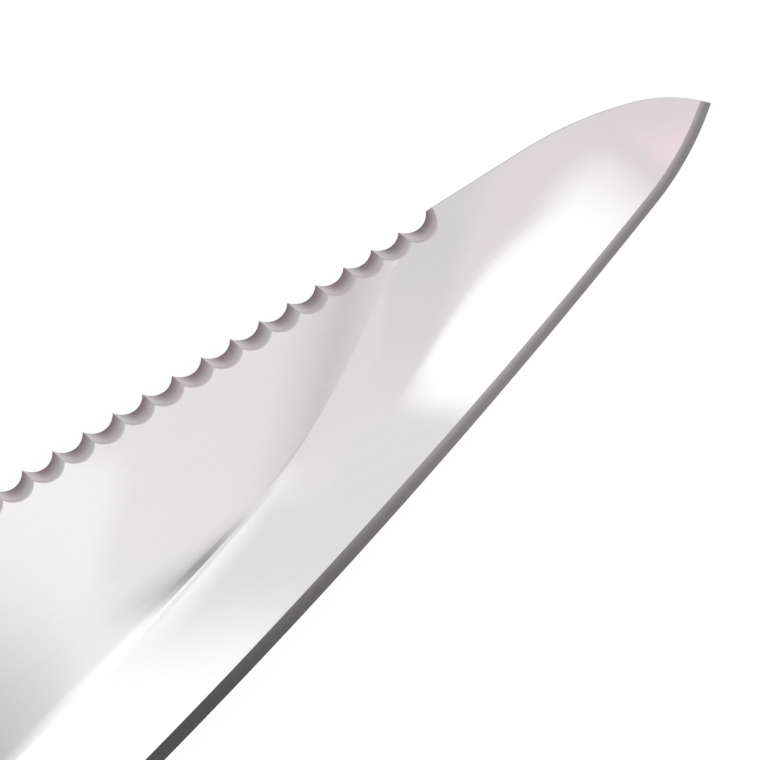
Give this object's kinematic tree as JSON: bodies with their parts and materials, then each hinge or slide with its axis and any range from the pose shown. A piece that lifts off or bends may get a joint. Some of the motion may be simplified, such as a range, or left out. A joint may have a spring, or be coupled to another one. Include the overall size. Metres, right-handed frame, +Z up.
{
  "type": "sashimi knife",
  "caption": "Broad fish and sashimi knife: hollow-ground steel blade with scaler teeth along its spine, full tang between riveted wooden scales, bolsters and a lanyard tube.",
  "frame": {"origin": "middle of the knife's box, on the surface that it lies on", "axes": "+X along the blade towards the tip, +Y towards the spine, +Z up through the blade's thickness"},
  "size_m": [0.29, 0.0468, 0.0185],
  "materials": {
    "blade_steel": "mirror-polished stainless steel, with ground notches and a ground edge bevel",
    "bolster_steel": "satin-polished stainless steel",
    "rivet_steel": "stainless steel, ground flush and buffed",
    "handle_wood": "oiled rosewood, sanded smooth",
    "liner_fibre": "black vulcanised fibre sheet, sanded flush"
  },
  "bodies": {
    "root": {"blade": "blade_steel", "left_bolster": "bolster_steel", "right_bolster": "bolster_steel", "upper_bolster_pin": "rivet_steel", "lower_bolster_pin": "rivet_steel", "left_liner": "liner_fibre", "right_liner": "liner_fibre", "left_scale": "handle_wood", "right_scale": "handle_wood", "front_rivet_sleeve": "rivet_steel", "middle_rivet_sleeve": "rivet_steel", "rear_rivet_sleeve": "rivet_steel", "front_rivet_post": "rivet_steel", "middle_rivet_post": "rivet_steel", "rear_rivet_post": "rivet_steel", "lanyard_tube": "rivet_steel"}
  },
  "joints": []
}
